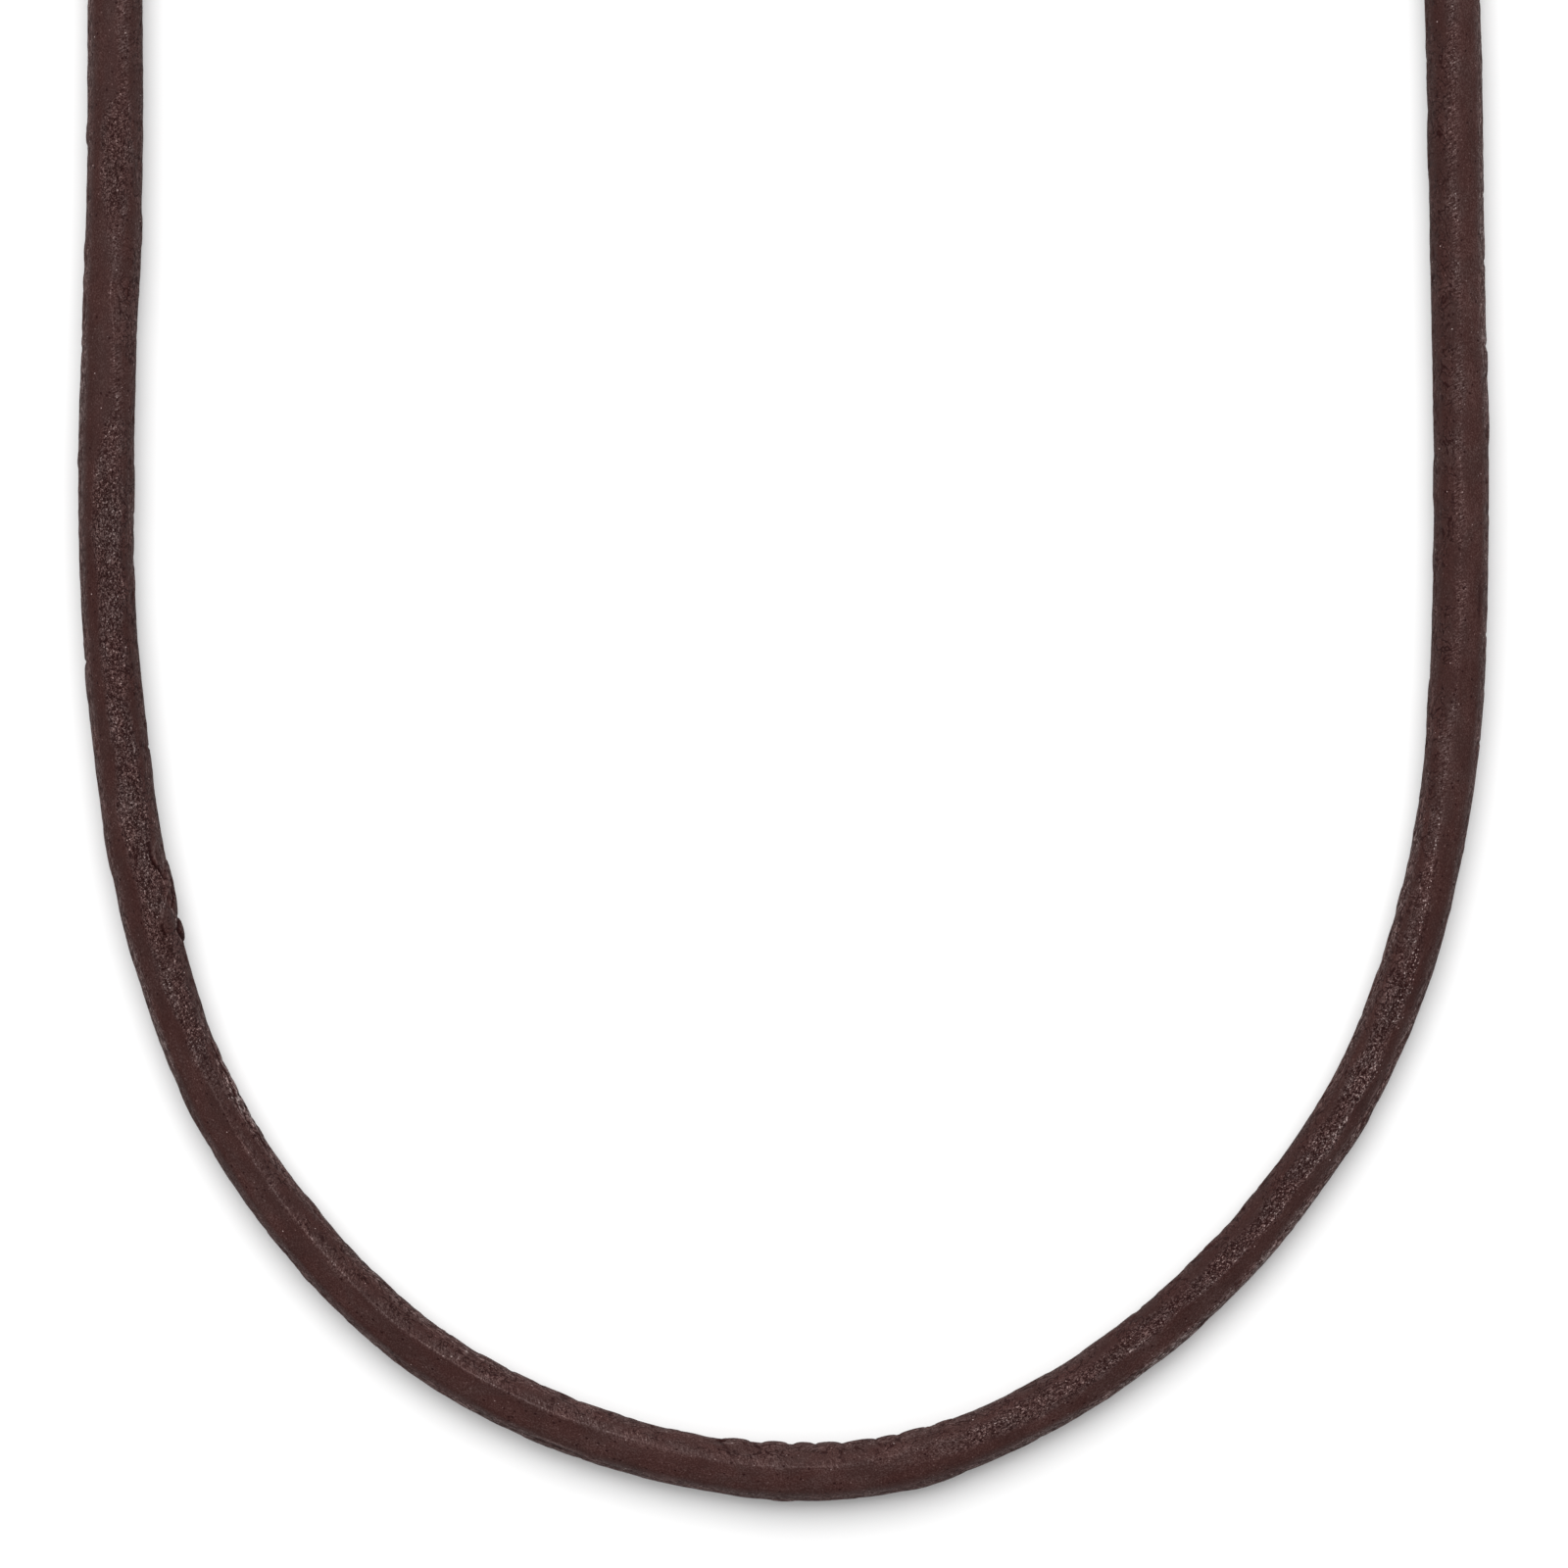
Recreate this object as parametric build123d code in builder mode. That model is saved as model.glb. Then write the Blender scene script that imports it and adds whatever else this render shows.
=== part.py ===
from build123d import *
import os
from math import radians, tan

# Round leather cord necklace, clasped into a whole loop and laid flat on a surface.
# Millimetres. X is across the loop, Y runs from the front of the neck to the clasp at the back,
# and Z is up. The origin is on the surface, under the middle of the loop's outer box.

# Cord
cord_diameter = 4.0

# Clasp: a closed barrel with a blind socket at each end
clasp_length = 18.0
clasp_wall = 1.1
clasp_y = 86.4
clasp_end_rounding = 0.5
parting_groove_width = 0.5
parting_groove_depth = 0.3
socket_depth = 6.0
socket_clearance = 0.15
socket_mouth_chamfer = 0.3

# Route of the cord's middle line, from the clasp's left socket round the front to its right one.
# Each point is x, y and lift: 0 where the cord rests on the surface, 1 level with the clasp's axis.
route = [
    (-14.1, clasp_y, 1.0),
    (-26.7, 81.5, 0.3),
    (-38.0, 70.6, 0.0),
    (-45.6, 55.7, 0.0),
    (-48.4, 38.0, 0.0),
    (-48.8, 19.0, 0.0),
    (-48.8, 0.6, 0.0),
    (-49.6, -18.6, 0.0),
    (-48.2, -37.3, 0.0),
    (-44.3, -56.3, 0.0),
    (-34.1, -72.6, 0.0),
    (-19.4, -83.6, 0.0),
    (1.0, -88.7, 0.0),
    (17.8, -84.4, 0.0),
    (34.0, -71.6, 0.0),
    (44.0, -56.1, 0.0),
    (48.7, -37.4, 0.0),
    (49.3, -18.3, 0.0),
    (49.0, 0.6, 0.0),
    (48.6, 19.0, 0.0),
    (48.1, 37.4, 0.0),
    (45.2, 55.1, 0.0),
    (37.5, 70.4, 0.0),
    (26.2, 81.6, 0.3),
    (13.8, clasp_y, 1.0),
]

# An arc takes this share of the shorter run beside its point, so two arcs never meet on a run.
arc_share = 0.45

cord_radius = cord_diameter / 2
socket_radius = cord_radius + socket_clearance
clasp_radius = socket_radius + clasp_wall
socket_floor_x = clasp_length / 2 - socket_depth

# The cord ends face to face with the socket floors, on the clasp's axis.
lift_height = clasp_radius - cord_radius
left_end = Vector(-socket_floor_x, clasp_y, clasp_radius)
right_end = Vector(socket_floor_x, clasp_y, clasp_radius)
middle_points = [Vector(x, y, cord_radius + lift * lift_height) for x, y, lift in route]
points = [left_end, *middle_points, right_end]


def arc_radius(before, corner, after):
    """The radius of the arc at a point of the route, as large as its two runs allow."""
    incoming, outgoing = corner - before, after - corner
    shorter_run = min(incoming.length, outgoing.length)
    half_turn = radians(incoming.get_angle(outgoing)) / 2
    return arc_share * shorter_run / tan(half_turn)


radii = [arc_radius(*trio) for trio in zip(points, points[1:], points[2:])]

# Leather cord: a tube of straight runs joined by tangent arcs
with BuildPart() as leather_cord:
    with BuildLine() as middle_line:
        FilletPolyline(*points, radius=radii)
    path = middle_line.wire()
    with BuildSketch(Plane(origin=path @ 0, z_dir=path % 0)) as cord_section:
        Circle(cord_radius)
    sweep(path=path)
leather_cord.part.label = "leather_cord"

# Clasp: a half section turned about its axis, with a fine groove where its two halves meet
with BuildPart() as clasp:
    with BuildSketch(Plane(origin=(0, clasp_y, clasp_radius))) as half_section:
        with Locations((0, clasp_radius / 2)):
            barrel = Rectangle(clasp_length, clasp_radius)
        fillet(barrel.vertices().group_by(Axis.Y)[-1], clasp_end_rounding)
        with Locations((0, clasp_radius)):
            Rectangle(parting_groove_width, 2 * parting_groove_depth, mode=Mode.SUBTRACT)
        socket_middle_x = (clasp_length - socket_depth) / 2
        with Locations((-socket_middle_x, 0), (socket_middle_x, 0)):
            Rectangle(socket_depth, 2 * socket_radius, mode=Mode.SUBTRACT)
        end_lines = half_section.vertices().group_by(Axis.X)
        mouth_corners = [line.sort_by(Axis.Y)[0] for line in (end_lines[0], end_lines[-1])]
        chamfer(mouth_corners, socket_mouth_chamfer)
    revolve(axis=Axis((0, clasp_y, clasp_radius), (1, 0, 0)))
clasp.part.label = "clasp"

os.makedirs("parts", exist_ok=True)
export_step(leather_cord.part, "parts/leather_cord.step")
export_step(clasp.part, "parts/clasp.step")

volume_share = leather_cord.part.volume / (cord_section.sketch.area * path.length)
print("arc radii, mm:", [round(radius, 1) for radius in radii])
print("cord length, mm:", round(path.length, 1))
print("tube volume over section times length:", round(volume_share, 4))
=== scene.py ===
from math import atan2, degrees, radians

import bmesh
import bpy
import numpy as np
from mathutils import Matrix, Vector


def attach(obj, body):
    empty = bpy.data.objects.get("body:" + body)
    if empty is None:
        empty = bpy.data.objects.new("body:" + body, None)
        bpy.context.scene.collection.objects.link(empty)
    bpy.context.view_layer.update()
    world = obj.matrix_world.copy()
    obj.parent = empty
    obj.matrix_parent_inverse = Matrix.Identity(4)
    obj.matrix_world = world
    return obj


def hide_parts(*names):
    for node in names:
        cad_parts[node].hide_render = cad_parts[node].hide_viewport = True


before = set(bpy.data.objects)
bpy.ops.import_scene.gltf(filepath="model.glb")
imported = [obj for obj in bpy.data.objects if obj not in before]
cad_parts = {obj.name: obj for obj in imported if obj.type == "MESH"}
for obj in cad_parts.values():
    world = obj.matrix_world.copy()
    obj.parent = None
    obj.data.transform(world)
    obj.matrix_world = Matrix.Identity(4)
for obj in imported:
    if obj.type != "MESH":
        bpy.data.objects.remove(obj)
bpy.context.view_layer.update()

# Round leather cord necklace, laid on a white table and seen from straight above. Metres, unless a name or
# comment says mm.
scene = bpy.context.scene
MM = 0.001

# The photograph's frame
VIEW_WIDTH = 114 * MM
VIEW_MIDDLE = (0.0, -37.5 * MM)
CAMERA_HEIGHT = 0.8
SENSOR_WIDTH = 36.0

# The floor, the white tent all round, and the soft box behind the loop and a little to its left
FLOOR_REACH = 3.0
TENT_STRENGTH = 0.7
SOFT_BOX_SIZE = (2.0, 1.4)
SOFT_BOX_WATTS = 29
SOFT_BOX_AIM = (0, -0.04, 0)
SOFT_BOX_FROM_AIM = (-0.10, 0.75, 1.2)

# Cord and clasp, as in the CAD model
CORD_RADIUS = 2 * MM
CORD_LENGTH = 0.451
CLASP_Y = 0.0864
CLASP_RADIUS = 3.25 * MM
SOCKET_FLOOR_X = 3 * MM
END_Z = CLASP_RADIUS
REST_Z = CORD_RADIUS
RISE_Z = REST_Z + 0.3 * (END_Z - REST_Z)

# The route of the cord's middle line, from the clasp's left socket round the front to its right one.
ROUTE = [
    (-SOCKET_FLOOR_X, CLASP_Y, END_Z),
    (-0.0141, CLASP_Y, END_Z),
    (-0.0267, 0.0815, RISE_Z),
    (-0.0380, 0.0706, REST_Z),
    (-0.0456, 0.0557, REST_Z),
    (-0.0484, 0.0380, REST_Z),
    (-0.0488, 0.0190, REST_Z),
    (-0.0488, 0.0006, REST_Z),
    (-0.0496, -0.0186, REST_Z),
    (-0.0482, -0.0373, REST_Z),
    (-0.0443, -0.0563, REST_Z),
    (-0.0341, -0.0726, REST_Z),
    (-0.0194, -0.0836, REST_Z),
    (0.0010, -0.0887, REST_Z),
    (0.0178, -0.0844, REST_Z),
    (0.0340, -0.0716, REST_Z),
    (0.0440, -0.0561, REST_Z),
    (0.0487, -0.0374, REST_Z),
    (0.0493, -0.0183, REST_Z),
    (0.0490, 0.0006, REST_Z),
    (0.0486, 0.0190, REST_Z),
    (0.0481, 0.0374, REST_Z),
    (0.0452, 0.0551, REST_Z),
    (0.0375, 0.0704, REST_Z),
    (0.0262, 0.0816, RISE_Z),
    (0.0138, CLASP_Y, END_Z),
    (SOCKET_FLOOR_X, CLASP_Y, END_Z),
]

# How many points are read from each stretch of the route's smooth line
LINE_STEPS = 80

# Where the cord's rings stand: from each distance along it, in mm, they are this many mm apart. They are
# closer on the front of the loop.
RING_SPACING = ((0.0, 0.8), (88.0, 0.22), (363.0, 0.8))
# Angles round the cord, in degrees from its top and towards the outside of the loop
UPPER_ARC = 105
UPPER_SEGMENTS = 40
LOWER_SEGMENTS = 8
# Where the mesh is finer still, at torn flaps and folds: the start and end of each stretch in mm, the angles
# that it lies between, and the cuts in each edge
FINER_PARTS = ((153.6, 162.8, -112, -12, 3), (169.8, 178.9, -100, -38, 1), (220.4, 239.2, -104, -40, 1))
# Points of the rolled tube that are closer than this, in mm, are one.
WELD_DISTANCE = 1e-5

# Half widths of the hand-rolled cord in mm, towards the inside and the outside of the loop, each at a
# distance along it in mm
HALF_WIDTHS = (
    (0, 2.00, 2.00), (20, 2.00, 2.00), (45, 2.04, 1.95), (70, 1.96, 2.02),
    (93, 2.13, 1.87), (100, 2.20, 1.84), (111, 2.15, 1.93), (117, 2.01, 2.02),
    (126, 2.11, 1.96), (135, 1.98, 1.98), (146, 2.06, 2.00), (154, 1.99, 2.07),
    (159, 2.06, 2.01), (165, 2.00, 1.82), (171, 1.82, 1.90), (177, 1.83, 1.93),
    (186, 2.00, 1.90), (197, 1.87, 2.05), (207, 1.93, 2.00), (219, 1.93, 1.98),
    (226, 2.04, 2.09), (233, 1.95, 2.13), (243, 1.95, 1.95), (252, 1.88, 2.00),
    (262, 1.89, 2.00), (270, 1.89, 1.89), (279, 1.76, 1.99), (290, 1.80, 2.04),
    (297, 1.76, 2.02), (309, 1.96, 2.06), (322, 1.96, 2.06), (339, 2.02, 1.95),
    (352, 1.99, 2.05), (375, 2.03, 1.96), (400, 1.96, 2.04), (425, 2.00, 2.00),
    (451, 2.00, 2.00),
)

# The fold that rolling left along the cord's top: at each distance along it in mm, its angle, and how flat
# the leather is beside it on the inside and the outside of the loop, from 0 to 1
TOP_FOLD = (
    (0, 0, 0.0, 0.0), (15, 4, 0.3, 0.3), (60, -6, 0.3, 0.3), (90, -16, 0.3, 0.2), (97, -25, 0.3, 0.2),
    (103, -29, 0.3, 0.2), (107, -24, 0.2, 0.2), (110, -9, 0.2, 0.3), (114, -1, 0.3, 0.3),
    (118, -12, 0.3, 0.3), (123, -23, 0.2, 0.3), (128, -26, 0.1, 0.2), (135, -6, 0.0, 0.2),
    (142, 8, 0.1, 0.3), (150, 5, 0.2, 0.5), (158, 4, 0.3, 0.6), (164, -1, 0.4, 0.8), (170, -9, 0.5, 1.0),
    (175, -12, 0.5, 1.0), (186, -10, 0.5, 1.0), (194, -9, 0.5, 1.0), (200, -15, 0.5, 1.0),
    (207, -16, 0.5, 1.0), (214, -19, 0.4, 0.9), (222, -13, 0.3, 0.7), (228, -14, 0.3, 0.6),
    (234, -20, 0.3, 0.6), (238, -22, 0.2, 0.5), (243, -13, 0.2, 0.5), (247, -4, 0.3, 0.6),
    (251, 0, 0.4, 0.9), (257, 0, 0.4, 0.9), (262, 6, 0.4, 0.9), (268, 9, 0.4, 0.9), (274, 12, 0.4, 0.8),
    (279, 16, 0.3, 0.6), (286, 17, 0.3, 0.4), (288, 11, 0.3, 0.4), (291, 1, 0.3, 0.4), (298, -8, 0.3, 0.4),
    (304, -14, 0.3, 0.3), (309, -2, 0.3, 0.3), (314, -1, 0.3, 0.3), (326, -3, 0.4, 0.3), (335, 3, 0.3, 0.3),
    (340, 0, 0.3, 0.3), (345, -7, 0.3, 0.3), (351, -3, 0.3, 0.3), (358, -3, 0.3, 0.3), (390, 8, 0.3, 0.3),
    (435, -4, 0.3, 0.3), (451, 0, 0.0, 0.0),
)
# How many degrees wide the flats are on the inside and the outside of the loop
INNER_FLAT = 40
OUTER_FLAT = 52

# The leather's finish. At each distance along it in mm: the angles from the fold between which its grain
# stands up; how strong the pebbles, the slanting ripples and the painted highlight on the crest of the fold
# are, where 1 is strong; how far to either side of the crest painted glints lie, in degrees; and how strong
# the lengthways wrinkles are on the inside and the outside of the loop
FINISH_COLUMNS = (
    "band_start", "band_end", "pebble_strength", "ripple_strength", "crest_highlight_strength", "bead_zone_deg",
    "inner_wrinkles", "outer_wrinkles",
)
FINISH = (
    (0, -30, 30, 0.3, 0.5, 0.0, 0, 0.4, 0.4), (60, -34, 26, 0.5, 0.5, 0.1, 0, 0.5, 0.8),
    (92, -12, 10, 0.2, 0.7, 0.2, 0, 0.3, 0.7), (99, -10, 20, 0.4, 0.7, 0.1, 0, 0.3, 0.6),
    (102, -14, 55, 0.7, 0.3, 0.0, 0, 0.4, 0.6), (107, -14, 48, 0.75, 0.3, 0.0, 0, 0.4, 0.5),
    (110, -20, 18, 0.4, 0.4, 0.3, 0, 0.4, 0.6), (115, -26, 8, 0.2, 0.3, 0.7, 0, 0.4, 0.6),
    (121, -18, 8, 0.3, 0.8, 0.4, 0, 0.3, 0.9), (126, -14, 42, 0.7, 0.5, 0.1, 0, 0.4, 0.7),
    (130, -16, 46, 1.0, 0.2, 0.0, 0, 0.6, 0.7), (136, -34, 28, 0.88, 0.1, 0.0, 0, 0.4, 0.8),
    (142, -42, 12, 1.0, 0.1, 0.0, 0, 0.4, 0.7), (150, -44, 9, 1.0, 0.2, 0.0, 0, 0.4, 0.7),
    (158, -48, 10, 0.9, 0.3, 0.0, 0, 0.5, 0.7), (164, -48, 12, 0.7, 0.6, 0.0, 0, 0.2, 0.9),
    (169, -40, 8, 0.7, 0.7, 0.1, 0, 0.8, 0.9), (174, -22, 4, 0.3, 0.4, 0.6, 0, 1.2, 0.5),
    (183, -18, 2, 0.2, 0.7, 0.9, 1, 0.6, 0.5), (196, -18, 2, 0.2, 0.6, 0.8, 1, 0.75, 0.6),
    (205, -22, 2, 0.2, 0.7, 1.1, 0, 0.6, 0.8), (213, -24, 3, 0.2, 0.6, 0.5, 0, 0.4, 0.6),
    (218, -20, 3, 0.1, 0.4, 0.3, 0, 0.3, 0.6), (229, -20, 3, 0.1, 0.4, 0.5, 0, 0.3, 0.6),
    (236, -12, 34, 0.3, 0.3, 0.2, 0, 0.4, 0.5), (241, -14, 32, 0.9, 0.2, 0.1, 0, 0.3, 0.8),
    (247, -28, 16, 0.8, 0.2, 0.1, 0, 0.3, 0.8), (252, -34, 5, 0.8, 0.3, 0.3, 3, 0.3, 0.9),
    (262, -38, 3, 0.9, 0.3, 0.7, 2.5, 0.25, 0.9), (272, -42, 1, 0.95, 0.3, 0.3, 3, 0.3, 0.9),
    (278, -46, 3, 1.0, 0.3, 0.5, 10, 0.7, 0.9), (286, -46, 4, 0.9, 0.3, 0.4, 15, 0.7, 0.9),
    (290, -34, 8, 0.6, 0.4, 0.3, 10, 0.8, 0.6), (296, -24, 6, 0.4, 0.6, 0.4, 5, 0.9, 0.6),
    (302, -14, 6, 0.3, 0.7, 0.3, 1, 0.5, 0.6), (325, -13, 5, 0.3, 0.7, 0.2, 0, 0.4, 0.6),
    (336, -13, 6, 0.3, 0.7, 0.2, 0, 0.25, 0.8), (345, -13, 6, 0.3, 0.7, 0.1, 0, 0.25, 0.7),
    (358, -16, 8, 0.4, 0.8, 0.2, 0, 0.3, 0.6),
    (400, -30, 20, 0.6, 0.5, 0.1, 0, 0.6, 0.6), (451, -30, 30, 0.3, 0.5, 0.0, 0, 0.4, 0.4),
)

# How much paler the leather is on the inside and on the outside of the loop, partly its own tone and partly
# painted light and shade for how each side of the fold is lit: distance along in mm, then shares of the
# leather's range from dark to pale
SIDE_TONE_AND_SHADE = (
    (0, 0.0, 0.0), (92, 0.0, -0.02), (98, 0.0, -0.02), (104, -0.01, -0.06), (110, 0.02, -0.02),
    (118, 0.03, -0.04), (126, -0.01, -0.04), (131, -0.01, -0.06), (138, -0.05, -0.05), (146, -0.04, -0.03),
    (150, -0.02, -0.04), (158, -0.01, -0.04), (163, -0.03, -0.05), (168, -0.04, -0.04), (174, -0.02, -0.035),
    (186, -0.03, -0.005), (198, -0.01, -0.01), (206, 0.01, -0.03), (215, 0.03, 0.0), (230, 0.02, 0.0),
    (238, 0.0, 0.0), (245, 0.015, 0.0), (254, -0.07, 0.01), (262, -0.06, 0.01), (272, -0.05, -0.02),
    (280, -0.03, -0.045), (288, -0.01, -0.07), (294, -0.03, -0.03), (302, -0.03, -0.01), (320, -0.04, 0.0),
    (330, -0.03, 0.02), (338, -0.035, 0.04), (346, -0.05, 0.0), (358, -0.05, 0.0), (451, 0.0, 0.0),
)

# Bulges at the sides, where the bent leather gathers: distance along and angle of the middle, half the
# length in mm, half the width in degrees, height in mm
BULGES = (
    (102.6, 92, 0.8, 26, 0.12), (109.5, -88, 1.2, 24, 0.08), (111.2, 90, 0.8, 24, 0.07),
    (113.3, 85, 0.5, 20, 0.06), (127.9, -86, 1.4, 24, 0.08), (129.6, -80, 0.6, 22, 0.06),
    (132.3, -86, 0.9, 20, 0.06), (135.0, -82, 1.0, 20, 0.07), (126.2, 90, 0.6, 20, 0.06),
    (142.4, 88, 1.4, 22, 0.06), (148.6, -84, 1.1, 22, 0.05), (154.6, 92, 1.8, 26, 0.10),
    (170.7, -86, 0.8, 24, 0.08), (172.3, -78, 0.8, 22, 0.08), (173.6, -86, 0.7, 24, 0.10),
    (175.2, -74, 1.0, 20, 0.08), (177.2, -82, 0.9, 22, 0.08), (174.0, 88, 2.0, 24, 0.08),
    (184.3, -88, 1.0, 24, 0.08), (188.0, 90, 0.5, 20, 0.05), (192.3, -86, 1.2, 24, 0.07),
    (195.0, -80, 1.2, 20, 0.05), (199.0, -84, 1.1, 22, 0.06), (202.6, -86, 1.3, 24, 0.08),
    (205.4, -84, 1.2, 22, 0.06), (208.1, -86, 1.4, 24, 0.08), (211.0, -84, 1.2, 22, 0.06),
    (208.0, 86, 1.2, 22, 0.07), (212.4, -86, 0.9, 22, 0.07), (218.2, -84, 1.4, 22, 0.06),
    (222.0, -88, 1.05, 28, 0.17), (225.0, -88, 0.95, 28, 0.18), (227.2, -90, 0.75, 26, 0.15),
    (229.1, -90, 0.95, 28, 0.16), (231.5, -88, 1.2, 26, 0.13), (233.6, -86, 0.8, 26, 0.11),
    (235.7, -88, 1.0, 26, 0.13), (238.2, -86, 0.7, 22, 0.08), (225.7, 90, 0.8, 22, 0.06),
    (236.2, 90, 2.2, 24, 0.10), (245.4, -86, 1.6, 24, 0.07), (251.5, -86, 1.6, 24, 0.06),
    (256.2, 90, 2.4, 24, 0.07), (261.7, -88, 1.8, 24, 0.07), (268.2, -88, 2.2, 24, 0.07),
    (275.4, 90, 1.6, 24, 0.08), (285.5, -88, 2.0, 24, 0.07), (289.2, -84, 1.4, 22, 0.07),
    (292.4, -80, 1.0, 20, 0.06), (298.0, -84, 1.4, 22, 0.06), (307.1, -88, 2.0, 24, 0.10),
    (318.0, -84, 1.2, 20, 0.06), (323.4, -88, 1.8, 24, 0.07), (328.0, 88, 1.8, 22, 0.05),
    (332.5, 88, 1.4, 22, 0.06), (347.7, -88, 2.2, 24, 0.08),
)

# Torn flaps of grain that lie on the cord, in the same terms as the bulges
FLAPS = (
    (155.2, -52, 1.10, 22, 0.10), (157.9, -98, 2.10, 46, 0.20), (160.3, -42, 1.00, 22, 0.10),
    (161.1, -98, 0.92, 32, 0.26),
)

# Creases and folded edges: depth in mm, negative where an edge stands up, half the width in mm, and the
# places that each passes, as distance along and angle
CREASES = (
    (0.15, 0.08, ((154.4, -37), (154.9, -33), (155.4, -32), (155.9, -35), (156.4, -45), (157.1, -54))),
    (0.18, 0.09, ((157.3, -78), (157.8, -76), (158.3, -74), (158.8, -68), (159.3, -62))),
    (0.09, 0.08, ((160.5, -25), (160.9, -25), (161.3, -29))),
    (0.22, 0.13, ((160.5, -82), (160.9, -69), (161.1, -66), (161.5, -72), (162.0, -84))),
    (-0.035, 0.08, ((154.3, -53), (154.6, -44), (155.2, -39), (155.8, -41), (156.2, -50))),
    (-0.045, 0.07, ((156.0, -41), (156.5, -43), (157.1, -49), (157.7, -53), (158.2, -54), (158.7, -47))),
    (-0.025, 0.07, ((158.7, -47), (159.2, -39), (159.7, -31), (160.3, -24))),
    (-0.045, 0.07, ((158.8, -60), (159.3, -57), (159.8, -63), (160.3, -68), (160.8, -63), (161.1, -57))),
    (-0.05, 0.08, ((161.1, -57), (161.6, -64), (162.1, -74), (163.0, -80), (164.5, -82))),
    (0.06, 0.10, ((170.2, -62), (171.2, -66), (172.0, -60), (172.6, -50))),
    (0.06, 0.10, ((172.8, -70), (173.5, -62), (174.3, -58), (174.9, -48))),
    (-0.05, 0.09, ((173.9, -66), (174.6, -60), (175.4, -64), (176.0, -72))),
    (0.05, 0.09, ((175.6, -56), (176.4, -54), (177.4, -58), (178.6, -66))),
    (-0.05, 0.08, ((200.5, -62), (200.4, -50), (200.3, -38), (200.1, -24))),
    (0.03, 0.09, ((207.9, -50), (208.0, -38), (207.9, -26))),
    (0.045, 0.09, ((220.8, -78), (220.9, -62), (221.3, -50), (221.6, -40), (221.4, -28))),
    (-0.03, 0.08, ((221.0, -68), (221.4, -58), (221.9, -62), (222.3, -72))),
    (0.04, 0.09, ((223.5, -80), (223.4, -66), (223.9, -54))),
    (0.03, 0.08, ((222.0, -30), (222.2, -42))),
    (0.035, 0.09, ((226.2, -82), (226.5, -66), (226.9, -58))),
    (0.03, 0.08, ((232.6, -44), (232.9, -30))),
    (0.035, 0.08, ((230.0, -40), (230.1, -26))),
    (0.04, 0.08, ((216.0, -42), (216.1, -34))),
    (0.04, 0.08, ((219.0, -40), (219.5, -38))),
    (0.035, 0.09, ((228.1, -82), (228.2, -66))),
    (0.035, 0.09, ((230.2, -82), (230.3, -62), (230.0, -44))),
    (0.035, 0.09, ((232.7, -82), (232.8, -62), (233.2, -48))),
    (0.035, 0.09, ((234.6, -82), (234.7, -64))),
    (-0.04, 0.08, ((206.5, 52), (209.0, 46), (211.5, 50), (212.6, 66))),
    (0.05, 0.09, ((206.0, 62), (209.0, 56), (212.0, 62))),
    (0.05, 0.14, ((283.0, 3), (286.0, 6), (289.0, 7), (292.0, 9))),
    (0.03, 0.10, ((286.5, 14), (288.0, 17), (290.0, 18))),
    (0.025, 0.09, ((291.0, 2), (293.0, 3), (296.0, 0))),
    (0.035, 0.07, ((313.0, 46), (314.0, 42), (315.0, 41), (316.2, 43))),
    (0.05, 0.09, ((154.6, -3), (155.1, -1), (155.7, 0))),
)

# A crease is looked for this many mm past its places, and fades out this many mm past them, at this slope.
# One this many mm deep has the darkest painted shade that a crease gets.
CREASE_MARGIN = 1.0
CREASE_FADE = 0.5
CREASE_FADE_SLOPE = 1.6
DARKEST_CREASE = 0.08

# A bulge reaches this many of its half widths round the cord, and a flap this many mm high hides the grain.
BULGE_SPREAD = 2.2
FLAP_EDGE = 0.05

# Random lumps: height in mm, how many mm apart along the cord, how many round it, and their seed
BROAD_LUMPS = (0.020, 3.1, 7, 1)
SMALL_LUMPS = (0.012, 1.3, 14, 2)
SIDE_LUMPS = (0.022, 0.62, 30, 3)
NICK_LUMPS = (1.0, 0.55, 34, 4)
# They cover this many mm, which is a little more than the cord, and have some rows to spare.
LUMPY_LENGTH = 460
SPARE_ROWS = 4
# A nick is where its lumps pass this height. Its depth is in mm, and its painted shade is a share of a
# crease's.
NICK_START = 0.45
NICK_DEPTH = 0.17
NICK_SHADE = 0.7

# The cord's sides, in degrees from its top, and the degrees over which their relief fades in and out
SIDE_START = 50
SIDE_END = 140
SIDE_FADE = 25
# The cord is plain for this many mm from each end, in the socket, and its relief fades in after that.
PLAIN_END = 7
PLAIN_FADE = 4

# The tone and painted shade change from the inside's to the outside's over this many degrees at the fold.
SIDE_SHADE_BLEND = 24

# The map for baking: the rows that the cord is folded into, the margins in each as shares of it, and the
# spot for the cord's two end faces, which have more sides than the last number
BAKE_ROWS = 6
BAKE_MARGINS = (0.01, 0.03)
BAKE_END_SPOT = 0.002
END_FACE_SIDES = 30

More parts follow.
